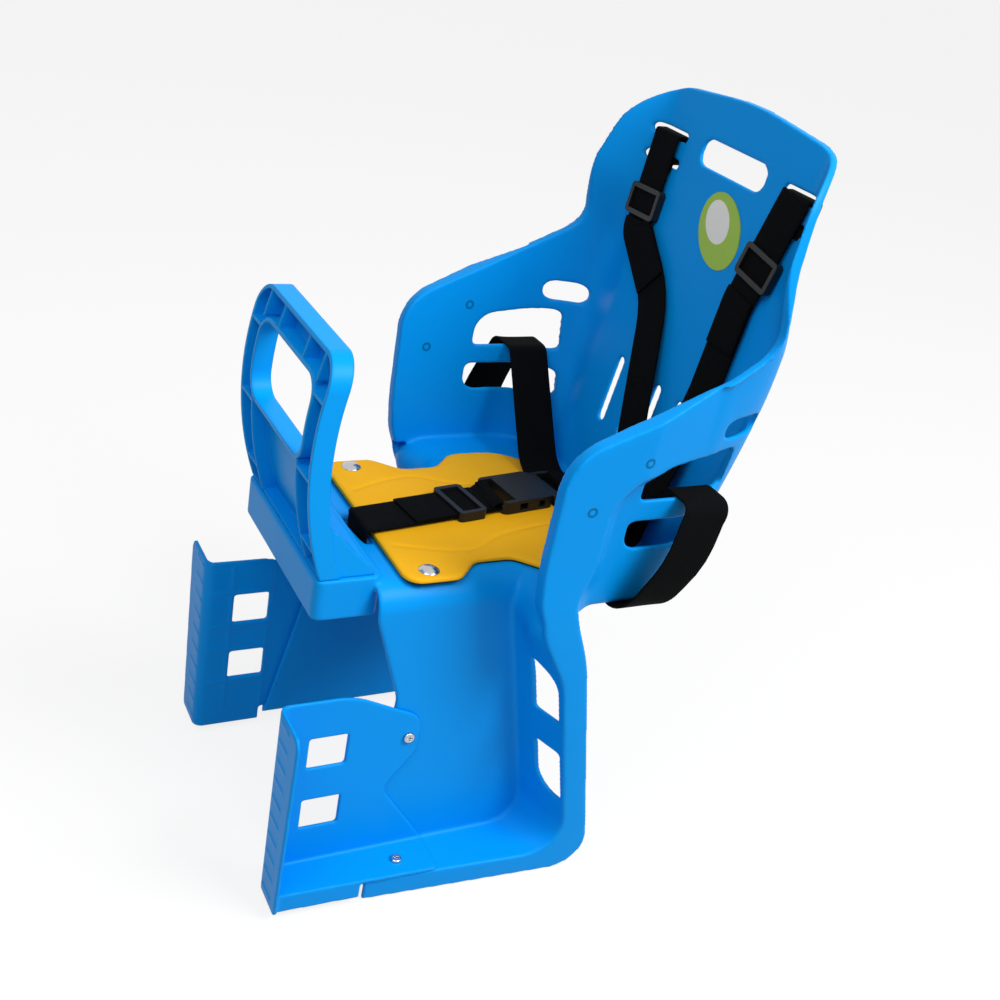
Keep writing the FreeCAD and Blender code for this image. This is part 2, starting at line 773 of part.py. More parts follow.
def grab_bar():
    foot = nose_top + contact
    skin = bar_skin

    def face_prism(inset):
        half = bar_half - inset
        corners = [(-half, foot + inset, 0), (half, foot + inset, 0)]
        corners += [(half, bar_top - inset, bar_corner - inset), (-half, bar_top - inset, bar_corner - inset)]
        return front_prism(corners, -beyond, 0)

    body = face_prism(0).common(bar_bow_solid(0, bar_depth))
    pocket = face_prism(skin).cut(bar_window(skin)).cut(bar_ribs())
    pocket = pocket.common(bar_bow_solid(-bar_bow, bar_depth - skin))
    half = bar_half - skin / 2
    base_front = bar_base_y + skin
    flange = plan_prism(rectangle(-half, half, base_front, bar_flange_rear, skin), foot, foot + skin)
    fin = [(base_front, foot, 0), (bar_flange_rear, foot, 0), (bar_flange_rear, foot + skin, 0)]
    fin += [(base_front, foot + bar_gusset_height, 0)]
    fins = both(side_prism(fin, half - skin, half))
    posts = []
    holes = []
    for x in (-bar_boss_x, bar_boss_x):
        base = FreeCAD.Vector(x, bar_boss_y, foot)
        posts.append(rod(bar_boss_radius, base, FreeCAD.Vector(0, 0, bar_boss_height)))
        holes.append(rod(screw_radius + contact / 2, base, FreeCAD.Vector(0, 0, bar_boss_height - skin)))
    solid = body.cut(pocket).cut(bar_window(0)).multiFuse([flange] + fins + posts)
    return solid.cut(Part.makeCompound(holes)).removeSplitter()


def grab_bar_screws():
    length = wall + contact + bar_boss_height - bar_skin - screw_radius
    screws = []
    for x in (-bar_boss_x, bar_boss_x):
        place = FreeCAD.Vector(x, bar_boss_y, nose_top - wall)
        screws.append(aimed(screw(length), FreeCAD.Vector(0, 0, -1), place))
    return Part.makeCompound(screws)


pad_low = wall + contact
pad_high = pad_low + pad_thickness


# Seat pad: two front tabs, a neck between the thighs and a broad rounded seat.
def seat_pad():
    tab_rear = 2 * snap_y - pad_front
    neck_front = tab_rear + pad_tab_half - pad_neck_half
    neck_rear = neck_front + pad_tab_half / 3
    seat_front = neck_rear + pad_seat_half - pad_neck_half
    right = [(pad_tab_half, pad_front, pad_tab_radius), (pad_tab_half, tab_rear, pad_tab_radius)]
    right += [(pad_neck_half, neck_front, pad_tab_radius), (pad_neck_half, neck_rear, pad_neck_radius)]
    right += [(pad_seat_half, seat_front, pad_neck_radius), (pad_seat_half, pad_rear / 2, pad_side_radius)]
    right += [(pad_seat_half / 2, pad_rear, pad_rear_radius)]
    left = [(-x, y, radius) for x, y, radius in reversed(right)]
    pad = plan_prism(right + left, pad_low, pad_high)
    for x in (-snap_x, snap_x):
        hole = rod(snap_post_radius + screw_play, FreeCAD.Vector(x, snap_y, 0), FreeCAD.Vector(0, 0, beyond))
        pad = pad.cut(hole)
    return pad


def pad_snaps():
    dome = (snap_radius ** 2 + snap_height ** 2) / (2 * snap_height)
    snaps = []
    for x in (-snap_x, snap_x):
        seat = FreeCAD.Vector(x, snap_y, pad_high + contact)
        ball = Part.makeSphere(dome, seat + FreeCAD.Vector(0, 0, snap_height - dome))
        cap = ball.common(rod(snap_radius, seat, FreeCAD.Vector(0, 0, snap_height)))
        post = rod(snap_post_radius, seat, FreeCAD.Vector(0, 0, -pad_high))
        snaps.append(cap.fuse(post).removeSplitter())
    return Part.makeCompound(snaps)


# Flat webbing along corners (point, bend radius), with its width along the hint as seen across the run.
def strap(corners, hint, width):
    stations = []
    last = len(corners) - 1
    for index, (point, radius) in enumerate(corners):
        arrive = (point - corners[index - 1][0]).normalize() if index else None
        leave = (corners[index + 1][0] - point).normalize() if index < last else None
        if arrive is None or leave is None:
            stations.append((point, leave or arrive))
            continue
        half = arrive.getAngle(leave) / 2
        reach = radius * math.tan(half)
        middle = (leave - arrive).normalize() * (radius / math.cos(half) - radius)
        stations.append((point - arrive * reach, arrive))
        stations.append((point + middle, (arrive + leave).normalize()))
        stations.append((point + leave * reach, leave))
    sections = []
    for point, tangent in stations:
        wide = (hint - tangent * hint.dot(tangent)).normalize() * (width / 2)
        thick = tangent.cross(wide).normalize() * (webbing / 2)
        loop = [point + wide + thick, point - wide + thick, point - wide - thick, point + wide - thick]
        sections.append(Part.makePolygon(loop + loop[:1]))
    return Part.makeLoft(sections, True, True)


# Strap adjuster for a stack of webbing centred on the origin, which runs along Y.
def adjuster(width, stack):
    gap = stack / 2 + clearance
    inner = width / 2 + clearance
    outer = inner + adjuster_rail
    end = adjuster_length / 2
    low = -gap - adjuster_skin
    high = gap + adjuster_skin
    rails = plan_prism(rectangle(-outer, outer, -end, end, adjuster_rail), low, high)
    rails = rails.cut(box(-inner, inner, -beyond, beyond, -beyond, beyond))
    bars = [box(-inner, inner, -adjuster_bar / 2, adjuster_bar / 2, low, -gap)]
    bars.append(box(-inner, inner, -end, adjuster_bar - end, gap, high))
    bars.append(box(-inner, inner, end - adjuster_bar, end, gap, high))
    return rails.multiFuse(bars).removeSplitter()


ply = webbing + clearance
strap_low = pad_high + clearance + webbing / 2
wrap = buckle_bar_radius + clearance + webbing / 2
crotch_low = strap_low + adjuster_skin + clearance
buckle_bar_z = crotch_low + wrap
buckle_floor = pad_high + clearance
side_to_side = FreeCAD.Vector(1, 0, 0)
front_to_back = FreeCAD.Vector(0, 1, 0)
rod_wrap = crotch_rod_radius + clearance + webbing / 2
rod_z = -rod_wrap - clearance - webbing


# Crotch strap: round its rod under the pan, up the slot, along the pad, round the buckle's bar and back.
def crotch_strap():
    bar_y = buckle_start + buckle_bar_radius
    turn = bar_y + wrap
    upper = crotch_low + 2 * wrap
    tail = crotch_low + ply
    settle = buckle_start - ply
    low = rod_z - rod_wrap
    path = [((-2 * rod_wrap, -clearance - webbing), 0), ((-2 * rod_wrap, low), rod_wrap * snug)]
    path += [((0, low), rod_wrap * snug), ((0, crotch_low), rod_wrap), ((turn, crotch_low), wrap * snug)]
    path += [((turn, upper), wrap * snug), ((settle, upper), webbing), ((settle - wrap * 2, tail), webbing)]
    path += [((crotch_tail, tail), 0)]
    corners = [(FreeCAD.Vector(0, y, z), radius) for (y, z), radius in path]
    return on_pad(strap(corners, side_to_side, wide_webbing))


def crotch_rod():
    start = FreeCAD.Vector(-crotch_rod_length / 2, -rod_wrap, rod_z)
    return on_pad(rod(crotch_rod_radius, start, side_to_side * crotch_rod_length))


def crotch_adjuster():
    piece = adjuster(wide_webbing, ply + webbing)
    piece.translate(FreeCAD.Vector(0, crotch_adjuster_y, crotch_low + ply / 2))
    return on_pad(piece)


# Buckle housing: a strap bar between two arms, and a hollow body with open sides for the prongs.
def buckle_housing():
    high = buckle_floor + buckle_height
    body_start = buckle_start + buckle_arm
    end = buckle_start + buckle_length
    face = rectangle(-buckle_half, buckle_half, buckle_start, end, buckle_radius)
    body = plan_prism(face, buckle_floor, high)
    inside = buckle_half - buckle_skin
    low = buckle_floor + buckle_skin
    ceiling = high - buckle_skin
    mouth = wide_webbing / 2 + clearance
    opening = box(-mouth, mouth, -beyond, body_start, -beyond, beyond)
    hollow = box(-inside, inside, body_start + buckle_skin, beyond, low, ceiling)
    port_end = end - buckle_skin * 4
    port = box(-beyond, beyond, body_start + buckle_skin, port_end, low, ceiling)
    bar_start = FreeCAD.Vector(-inside, buckle_start + buckle_bar_radius, buckle_bar_z)
    bar = rod(buckle_bar_radius, bar_start, side_to_side * 2 * inside)
    return on_pad(body.cut(opening).cut(hollow).cut(port).fuse(bar).removeSplitter())


insert_low = buckle_floor + buckle_skin + clearance
insert_high = buckle_floor + buckle_height - buckle_skin - clearance
insert_start = buckle_start + buckle_length + clearance


# Buckle insert: two prongs whose tips stand in the housing's sides, a guide and a loop for its strap.
def buckle_insert():
    end = insert_start + insert_length
    neck = buckle_half - buckle_skin * 2
    face = rectangle(-buckle_half, buckle_half, insert_start, end, buckle_radius)
    base = plan_prism(face, insert_low, insert_high)
    mouth = wide_webbing / 2 + clearance
    loop_start = insert_start + insert_length / 3
    opening = box(-mouth, mouth, loop_start, end + beyond, -beyond, beyond)
    tip_end = insert_start - prong_length
    prong = box(neck - prong_width, neck, tip_end, insert_start + buckle_skin, insert_low, insert_high)
    tip = box(neck - prong_width, buckle_half, tip_end, tip_end + prong_tip, insert_low, insert_high)
    guide = box(-prong_width / 2, prong_width / 2, tip_end, insert_start + buckle_skin, insert_low, insert_high)
    inside = buckle_half - buckle_skin
    bar_start = FreeCAD.Vector(-inside, end - buckle_bar_radius, insert_bar_z)
    bar = rod(buckle_bar_radius, bar_start, side_to_side * 2 * inside)
    solid = base.cut(opening).multiFuse(both(prong) + both(tip) + [guide, bar])
    return on_pad(solid.removeSplitter())


insert_bar_z = (insert_low + insert_high) / 2
lap_centre = crotch_x - math.tan(math.radians(crotch_turn)) * (lap_y - crotch_y)


# Short strap that loops round the insert's bar and is sewn to the lap straps.
def buckle_strap():
    bar_y = insert_start + insert_length - buckle_bar_radius
    front_y = bar_y - wrap
    sewn = strap_low + ply
    end = bar_y + wide_webbing / 2
    settle = bar_y + wrap * 4
    high = insert_bar_z + wrap
    low = insert_bar_z - wrap
    path = [((end, sewn + ply), 0), ((settle, sewn + ply), webbing), ((bar_y + webbing, high), webbing)]
    path += [((front_y, high), wrap * snug), ((front_y, low), wrap * snug)]
    path += [((bar_y + webbing, low), webbing), ((settle, sewn), webbing), ((end, sewn), 0)]
    corners = [(FreeCAD.Vector(0, y, z), radius) for (y, z), radius in path]
    return on_pad(strap(corners, side_to_side, wide_webbing))


# Lap strap of one side (sign): under the pan, up outside the wing, over the sill and down to the buckle.
def lap_strap(sign):
    under = -clearance - webbing / 2
    over = window_sill + clearance + webbing / 2
    inner = sign * lap_centre + contact
    foot = lap_inside - lap_bend * 2
    path = [(contact, lap_y, under, 0), (foot / 2, lap_y, under, wide_webbing)]
    path += [(lap_outside, lap_low_y, under, lap_bend * 1.5)]
    path += [(lap_outside, lap_y, over, lap_bend), (lap_inside, lap_y, over, lap_bend)]
    path += [(foot, lap_y, strap_low, lap_bend * 2), (inner, lap_y, strap_low, 0)]
    corners = [(FreeCAD.Vector(sign * x, y, z), radius) for x, y, z, radius in path]
    return strap(corners, front_to_back, wide_webbing)


# Point in front of the backrest at a width, a height and a lift off its front face.
def on_back(x, z, lift):
    return FreeCAD.Vector(x, back_at_pan + z * math.tan(recline) - lift, z)


# Shoulder strap of one side: its end loops through both slots, and its run goes down to the lap strap.
def shoulder_strap(sign, kink_x, slant_x, end_x):
    x = sign * strap_slot_x
    low = strap_slot_z - strap_slot_pitch
    behind = -wall - ply
    tail_lift = 2 * clearance + webbing / 2
    bend = webbing * 1.2
    sewn = strap_low + ply
    tail_end = low - strap_slot_height / 2 - shoulder_tail
    corners = [(on_back(x, tail_end, tail_lift), 0), (on_back(x, low, tail_lift), bend)]
    corners += [(on_back(x, low, behind), bend), (on_back(x, strap_slot_z, behind), bend)]
    corners += [(on_back(x, strap_slot_z, shoulder_lift), bend)]
    corners += [(on_back(kink_x, shoulder_kink_z, shoulder_lift), shoulder_turn)]
    corners += [(on_back(slant_x, shoulder_slant_z, shoulder_lift), shoulder_turn)]
    corners += [(FreeCAD.Vector(end_x, shoulder_low_y, shoulder_low_z), narrow_webbing)]
    corners += [(FreeCAD.Vector(end_x, lap_y + wide_webbing / 2 - webbing, sewn), webbing * 4)]
    corners += [(FreeCAD.Vector(end_x, shoulder_end_y, sewn), 0)]
    return strap(corners, side_to_side, narrow_webbing)


# Direction of the straight upper run of a shoulder strap, from the slot downwards.
def shoulder_run(sign, kink_x):
    start = on_back(sign * strap_slot_x, strap_slot_z, shoulder_lift)
    end = on_back(kink_x, shoulder_kink_z, shoulder_lift)
    return start, end - start


def shoulder_adjuster(sign, kink_x):
    start, run = shoulder_run(sign, kink_x)
    place = start + run * ((strap_slot_z - shoulder_adjuster_z) / (strap_slot_z - shoulder_kink_z))
    along = run.normalize()
    wide = (side_to_side - along * side_to_side.dot(along)).normalize()
    outward = along.cross(wide) * -1
    upward = along * -1
    turn = FreeCAD.Matrix(wide.x, upward.x, outward.x, place.x, wide.y, upward.y, outward.y, place.y,
                          wide.z, upward.z, outward.z, place.z, 0, 0, 0, 1)
    piece = adjuster(narrow_webbing, webbing)
    piece.Placement = FreeCAD.Placement(turn)
    return piece


guard = foot_guard()
screws, nuts = guard_fasteners()
pieces = {
    "seat_shell": seat_shell(),
    "foot_guard_left": guard,
    "foot_guard_right": mirrored(guard),
    "guard_screws": screws,
    "guard_nuts": nuts,
    "grab_bar": grab_bar(),
    "grab_bar_screws": grab_bar_screws(),
    "seat_pad": seat_pad(),
    "pad_snaps": pad_snaps(),
    "crotch_strap": crotch_strap(),
    "crotch_rod": crotch_rod(),
    "crotch_adjuster": crotch_adjuster(),
    "buckle_housing": buckle_housing(),
    "buckle_insert": buckle_insert(),
    "buckle_strap": buckle_strap(),
    "lap_strap_left": lap_strap(1),
    "lap_strap_right": lap_strap(-1),
    "shoulder_strap_left": shoulder_strap(1, shoulder_kink_left, shoulder_slant_left, shoulder_end_left),
    "shoulder_strap_right": shoulder_strap(-1, shoulder_kink_right, shoulder_slant_right, shoulder_end_right),
    "shoulder_adjuster_left": shoulder_adjuster(1, shoulder_kink_left),
    "shoulder_adjuster_right": shoulder_adjuster(-1, shoulder_kink_right),
}
os.makedirs("parts", exist_ok=True)
for name, shape in pieces.items():
    shape.exportStep("parts/" + name + ".step")
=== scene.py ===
import json
import math
import bpy
import numpy
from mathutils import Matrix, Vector


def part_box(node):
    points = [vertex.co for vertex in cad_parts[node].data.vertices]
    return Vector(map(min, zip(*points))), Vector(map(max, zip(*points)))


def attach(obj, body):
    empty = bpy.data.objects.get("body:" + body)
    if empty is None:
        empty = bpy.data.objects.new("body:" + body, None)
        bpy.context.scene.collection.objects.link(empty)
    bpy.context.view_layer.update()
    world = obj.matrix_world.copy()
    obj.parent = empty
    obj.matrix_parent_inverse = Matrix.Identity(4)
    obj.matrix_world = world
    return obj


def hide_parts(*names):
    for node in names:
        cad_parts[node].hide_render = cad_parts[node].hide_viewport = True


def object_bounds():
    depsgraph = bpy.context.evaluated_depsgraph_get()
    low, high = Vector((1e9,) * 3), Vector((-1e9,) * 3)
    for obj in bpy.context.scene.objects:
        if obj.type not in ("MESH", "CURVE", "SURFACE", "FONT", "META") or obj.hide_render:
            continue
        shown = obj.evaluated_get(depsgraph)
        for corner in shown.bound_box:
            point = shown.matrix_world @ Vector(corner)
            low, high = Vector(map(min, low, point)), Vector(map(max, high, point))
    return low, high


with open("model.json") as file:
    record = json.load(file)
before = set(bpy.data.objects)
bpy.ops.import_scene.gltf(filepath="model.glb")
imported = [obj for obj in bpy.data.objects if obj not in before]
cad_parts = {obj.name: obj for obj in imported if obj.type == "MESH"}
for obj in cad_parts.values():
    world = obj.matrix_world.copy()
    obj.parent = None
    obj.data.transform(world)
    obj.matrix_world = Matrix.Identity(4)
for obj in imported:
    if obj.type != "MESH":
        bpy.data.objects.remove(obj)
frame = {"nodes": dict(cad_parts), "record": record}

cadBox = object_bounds()
nodes = frame["nodes"]
mm = 0.001
print("frame loaded:", len(nodes), "nodes")


# one socket of a shader tree, so that shader maths reads as plain expressions
class Tone:
    def __init__(self, tree, socket):
        self.tree = tree
        self.socket = socket

    def join(self, kind, first, second):
        step = self.tree.nodes.new("ShaderNodeMath")
        step.operation = kind
        for slot, value in zip(step.inputs, (first, second)):
            if isinstance(value, Tone):
                self.tree.links.new(value.socket, slot)
            else:
                slot.default_value = value
        return Tone(self.tree, step.outputs[0])

    def __add__(self, other):
        return self.join("ADD", self, other)

    def __radd__(self, other):
        return self.join("ADD", other, self)

    def __sub__(self, other):
        return self.join("SUBTRACT", self, other)

    def __rsub__(self, other):
        return self.join("SUBTRACT", other, self)

    def __mul__(self, other):
        return self.join("MULTIPLY", self, other)

    def __rmul__(self, other):
        return self.join("MULTIPLY", other, self)

    def __lt__(self, other):
        return self.join("LESS_THAN", self, other)

    def wave(self):
        return self.join("SINE", self, 0)


# one material with its shader and a single way to add any node
class Finish:
    def __init__(self, name):
        self.material = bpy.data.materials.new(name)
        self.material.use_nodes = True
        self.tree = self.material.node_tree
        self.shader = self.tree.nodes["Principled BSDF"]

    def put(self, kind, settings, sockets, output=0):
        step = self.tree.nodes.new(kind)
        for key, value in settings.items():
            setattr(step, key, value)
        self.fill(step, sockets)
        return Tone(self.tree, step.outputs[output])

    def fill(self, step, sockets):
        for key, value in sockets.items():
            if isinstance(value, Tone):
                self.tree.links.new(value.socket, step.inputs[key])
            else:
                step.inputs[key].default_value = value

    def surface(self, **sockets):
        self.fill(self.shader, {key.replace("_", " "): value for key, value in sockets.items()})
        return self.material

    def place(self):
        return self.put("ShaderNodeTexCoord", {}, {}, "Object")

    def across(self):
        return self.put("ShaderNodeTexCoord", {}, {}, "UV")

    def part(self, vector, axis):
        return self.put("ShaderNodeSeparateXYZ", {}, {"Vector": vector}, axis)

    def noise(self, where, size, detail=2.0):
        return self.put("ShaderNodeTexNoise", {}, {"Vector": where, "Scale": 1 / size, "Detail": detail})

    def blend(self, factor, first, second):
        settings = {"data_type": "RGBA"}
        return self.put("ShaderNodeMix", settings, {0: factor, 6: first, 7: second}, 2)

    def relief(self, height, depth):
        return self.put("ShaderNodeBump", {}, {"Height": height, "Distance": depth, "Strength": 1.0})

    def softEdge(self, radius):
        return self.put("ShaderNodeBevel", {"samples": 6}, {"Radius": radius})


# satin polypropylene with a faint moulded grain and softened edges
mouldings = {
    "shell": (0.0, 0.310, 0.850, 1),
    "guard": (0.0, 0.310, 0.870, 1),
    "bar": (0.0, 0.335, 0.890, 1),
    "shade": 0.90,
    "cloudSize": 0.11,
    "grainSize": 0.0011,
    "grainDepth": 0.00003,
    "edge": 0.0022,
    "roughness": 0.36,
    "cloudRough": 0.10,
    "gloss": 0.10,
}


# round ejector marks on the wings: the shade of their moulded relief is painted as darker rings
marks = {
    "places": ((0, -6 * mm, 88 * mm), (0, 29 * mm, 125 * mm)),
    "radius": 4 * mm,
    "pin": 2 * mm,
    "outside": 125 * mm,  # only faces further out than this in X belong to a wing
    "shade": 0.45,
}


def wingMarkShade(finish, where):
    x, y, z = (finish.part(where, axis) for axis in "XYZ")
    flat = finish.put("ShaderNodeCombineXYZ", {}, {"Y": y, "Z": z})
    wing = 1 - (x * x < marks["outside"] ** 2)
    shadeRing = 0
    for middle in marks["places"]:
        ends = {0: flat, 1: middle}
        away = finish.put("ShaderNodeVectorMath", {"operation": "DISTANCE"}, ends, "Value")
        shadeRing = shadeRing + ((away < marks["radius"]) - (away < marks["pin"]))
    return wing * shadeRing


def shaded(colour, share):
    return tuple(part * share for part in colour[:3]) + (1,)


def mouldedPlastic(name, colour, shadedMarks=False):
    finish = Finish(name)
    where = finish.place()
    cloud = finish.noise(where, mouldings["cloudSize"])
    tint = finish.blend(cloud, shaded(colour, mouldings["shade"]), colour)
    if shadedMarks:
        # painted shade: the rings round the ejector marks are darkened to stand in for the shade of their
        # relief
        tint = finish.blend(wingMarkShade(finish, where), tint, shaded(colour, marks["shade"]))
    grain = finish.noise(where, mouldings["grainSize"])
    soft = finish.softEdge(mouldings["edge"])
    sockets = {"Height": grain, "Distance": mouldings["grainDepth"], "Normal": soft}
    bump = finish.put("ShaderNodeBump", {}, sockets)
    rough = mouldings["roughness"] + mouldings["cloudRough"] * cloud
    return finish.surface(Base_Color=tint, Roughness=rough, Normal=bump,
                          Specular_IOR_Level=mouldings["gloss"])


# closed-cell foam whose lowest layer is painted near black, a painted shade under the pad's edge
foamLook = {
    "colour": (0.92, 0.47, 0.008, 1),
    "worn": (0.84, 0.40, 0.006, 1),
    "underShade": (0.012, 0.011, 0.010, 1),
    "underShadeHeight": 1.7 * mm,
    "patch": 0.05,
    "cell": 0.0016,
    "cellDetail": 4.0,
    "depth": 0.00010,
    "roughness": 0.6,
    "gloss": 0.15,
}


def foam():
    finish = Finish("yellowFoam")
    where = finish.place()
    patch = finish.noise(where, foamLook["patch"])
    top = finish.blend(patch, foamLook["worn"], foamLook["colour"])
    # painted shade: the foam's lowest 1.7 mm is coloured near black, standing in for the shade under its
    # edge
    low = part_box("seat_pad")[0][2] + foamLook["underShadeHeight"]
    under = finish.part(where, "Z") < low
    tint = finish.blend(under, top, foamLook["underShade"])
    cells = finish.noise(where, foamLook["cell"], foamLook["cellDetail"])
    bump = finish.relief(cells, foamLook["depth"])
    return finish.surface(Base_Color=tint, Roughness=foamLook["roughness"], Normal=bump,
                          Specular_IOR_Level=foamLook["gloss"])


# woven polyester: two slanting ribs that cross, on the strap's own map in metres
weave = {
    "dark": (0.0006, 0.0007, 0.0009, 1),
    "light": (0.0032, 0.0036, 0.0042, 1),
    "ribPitch": 2.2 * mm,
    "ribShare": 0.3,
    "threadPitch": 1.6 * mm,
    "threadShare": 0.2,
    "middle": 0.5,
    "depth": 0.00022,
    "roughness": 0.85,
    "gloss": 0.05,
}


def blackWebbing():
    finish = Finish("blackWebbing")
    where = finish.across()
    turn = 2 * math.pi
    u = finish.part(where, "X")
    v = finish.part(where, "Y")
    rib = ((u + v) * (turn / weave["ribPitch"])).wave()
    thread = ((u - v) * (turn / weave["threadPitch"])).wave()
    cloth = rib * weave["ribShare"] + thread * weave["threadShare"] + weave["middle"]
    tint = finish.blend(cloth, weave["dark"], weave["light"])
    bump = finish.relief(cloth, weave["depth"])
    return finish.surface(Base_Color=tint, Roughness=weave["roughness"], Normal=bump,
                          Specular_IOR_Level=weave["gloss"])


# buckle and adjusters
hardware = {"colour": (0.007, 0.008, 0.0085, 1), "edge": 0.9 * mm, "roughness": 0.4, "gloss": 0.3}


def blackPlastic():
    finish = Finish("blackPlastic")
    soft = finish.softEdge(hardware["edge"])
    return finish.surface(Base_Color=hardware["colour"], Roughness=hardware["roughness"], Normal=soft,
                          Specular_IOR_Level=hardware["gloss"])


# screws, nuts and pad snaps
bright = {"colour": (0.52, 0.52, 0.53, 1), "edge": 0.5 * mm, "roughness": 0.2}


def brightSteel():
    finish = Finish("brightSteel")
    soft = finish.softEdge(bright["edge"])
    return finish.surface(Base_Color=bright["colour"], Metallic=1.0, Roughness=bright["roughness"],
                          Normal=soft)


finishes = {
    "shell": mouldedPlastic("shellBlue", mouldings["shell"], shadedMarks=True),
    "guard": mouldedPlastic("guardBlue", mouldings["guard"]),
    "bar": mouldedPlastic("barBlue", mouldings["bar"]),
    "foam": foam(),
    "webbing": blackWebbing(),
    "black_plastic": blackPlastic(),
    "steel": brightSteel(),
}
print("finishes:", len(finishes))

slotOf = {row["node"]: row["material_slot"] for row in frame["record"]["subparts"]}
for name, node in nodes.items():
    node.data.materials.clear()
    node.data.materials.append(finishes[slotOf[name]])
print("nodes painted")


making = {"smoothAngle": 40.0, "merge": 0.01 * mm, "smoothing": 0.5}


def takeOnly(piece):
    bpy.ops.object.select_all(action="DESELECT")
    piece.select_set(True)
    bpy.context.view_layer.objects.active = piece


def applyModifier(piece, kind, settings):
    takeOnly(piece)
    step = piece.modifiers.new(kind, kind)
    for key, value in settings.items():
        setattr(step, key, value)
    bpy.ops.object.modifier_apply(modifier=step.name)


def finishPiece(piece, body="seat", standsFor=()):
    takeOnly(piece)
    bpy.ops.object.transform_apply(location=True, rotation=True, scale=True)
    bpy.ops.object.shade_smooth_by_angle(angle=math.radians(making["smoothAngle"]))
    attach(piece, body)
    if standsFor:
        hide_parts(*standsFor)


def copyNode(name, node):
    piece = bpy.data.objects.new(name, nodes[node].data.copy())
    bpy.context.scene.collection.objects.link(piece)
    takeOnly(piece)
    bpy.ops.object.mode_set(mode="EDIT")
    bpy.ops.mesh.select_all(action="SELECT")
    bpy.ops.mesh.remove_doubles(threshold=making["merge"])
    bpy.ops.object.mode_set(mode="OBJECT")
    return piece


def easeEdges(piece, voxel, rounds):
    applyModifier(piece, "REMESH", {"mode": "VOXEL", "voxel_size": voxel * mm})
    applyModifier(piece, "SMOOTH", {"factor": making["smoothing"], "iterations": rounds})


def swellOut(piece, depth):
    applyModifier(piece, "DISPLACE", {"strength": depth * mm, "mid_level": 0.0})


def dress(piece, slot):
    piece.data.materials.clear()
    piece.data.materials.append(finishes[slot])


def readPlaces(mesh):
    places = numpy.empty(len(mesh.vertices) * 3)
    mesh.vertices.foreach_get("co", places)
    return places.reshape(-1, 3)


def writePlaces(mesh, places):
    mesh.vertices.foreach_set("co", places.ravel())
    mesh.update()


# soft step from 0 at the start to 1 at the end
def ease(start, end, value):
    share = numpy.clip((value - start) / (end - start), 0, 1)
    return share * share * (3 - 2 * share)


# moulded shell and guards: the solids with every edge eased round, as a mould leaves them
easing = {
    "seatShell": {"node": "seat_shell", "slot": "shell", "voxel": 1.1, "rounds": 16, "keep": 0.17},
    "footGuardLeft": {"node": "foot_guard_left", "slot": "guard", "voxel": 1.1, "rounds": 4, "keep": 0.6},
    "footGuardRight": {"node": "foot_guard_right", "slot": "guard", "voxel": 1.1, "rounds": 4, "keep": 0.6},
}
swell = {"out": 0.6, "back": -0.5}    # keeps thin edges whole while they are eased
# the backrest's side edges curl forwards at the top, its lower corners stand squarer at the rear, and
# the wings' front edges flow into the leg channels without a waist
curl = {"depth": 18.0, "from": 90.0, "to": 130.0, "low": 150.0, "high": 320.0}
corner = {"depth": 14.0, "from": 80.0, "to": 125.0, "front": 94.0, "rear": 122.0, "full": 190.0,
          "fade": 260.0}
waist = {"depth": 15.5, "from": 96.0, "to": 134.0, "low": -75.0, "mid": -8.0, "high": 0.0, "top": 48.0,
         "front": -5.0, "rear": 32.0}


def shapeBack(mesh):
    places = readPlaces(mesh)
    x, y, z = numpy.abs(places[:, 0]) / mm, places[:, 1] / mm, places[:, 2] / mm
    forwards = ease(curl["from"], curl["to"], x) * ease(curl["low"], curl["high"], z)
    backwards = ease(corner["from"], corner["to"], x) * ease(corner["front"], corner["rear"], y)
    backwards *= 1 - ease(corner["full"], corner["fade"], z)
    filled = ease(waist["from"], waist["to"], x) * ease(waist["low"], waist["mid"], z)
    filled *= (1 - ease(waist["high"], waist["top"], z)) * (1 - ease(waist["front"], waist["rear"], y))
    move = corner["depth"] * backwards - curl["depth"] * forwards - waist["depth"] * filled
    places[:, 1] += move * mm
    writePlaces(mesh, places)


for name, way in easing.items():
    moulding = copyNode(name, way["node"])
    if name == "seatShell":
        swellOut(moulding, swell["out"])
    easeEdges(moulding, way["voxel"], way["rounds"])
    if name == "seatShell":
        swellOut(moulding, swell["back"])
        shapeBack(moulding.data)
    applyModifier(moulding, "DECIMATE", {"ratio": way["keep"]})
    dress(moulding, way["slot"])
    finishPiece(moulding, "seat", [way["node"]])
    bpy.ops.object.shade_smooth()
    print(name, "eased:", len(moulding.data.polygons), "faces")


# harness webbing: each strap is a flat ribbon bent round its corners
harness = {
    "thick": 1.6,
    "wide": 36.0,
    "narrow": 32.0,
    "clear": 0.3,
    "bend": 7.0,          # degrees of bend between two rows of a ribbon
    "step": 7.0,          # length of a row on a straight run
    "rows": 6,            # faces across a ribbon
    "reach": 0.49,        # most of a straight run that one bend may take up
    "least": 0.0001,      # shorter rows are left out
    "hem": 0.45,
    "hemSegments": 2,
    "padTop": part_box("seat_pad")[1][2] / mm,
    "backAtPan": 108.0,
    "recline": 9.0,
    "wall": 4.0,
}
ply = harness["thick"] + harness["clear"]
padStrapZ = harness["padTop"] + harness["clear"] + harness["thick"] / 2
sewnZ = padStrapZ + ply


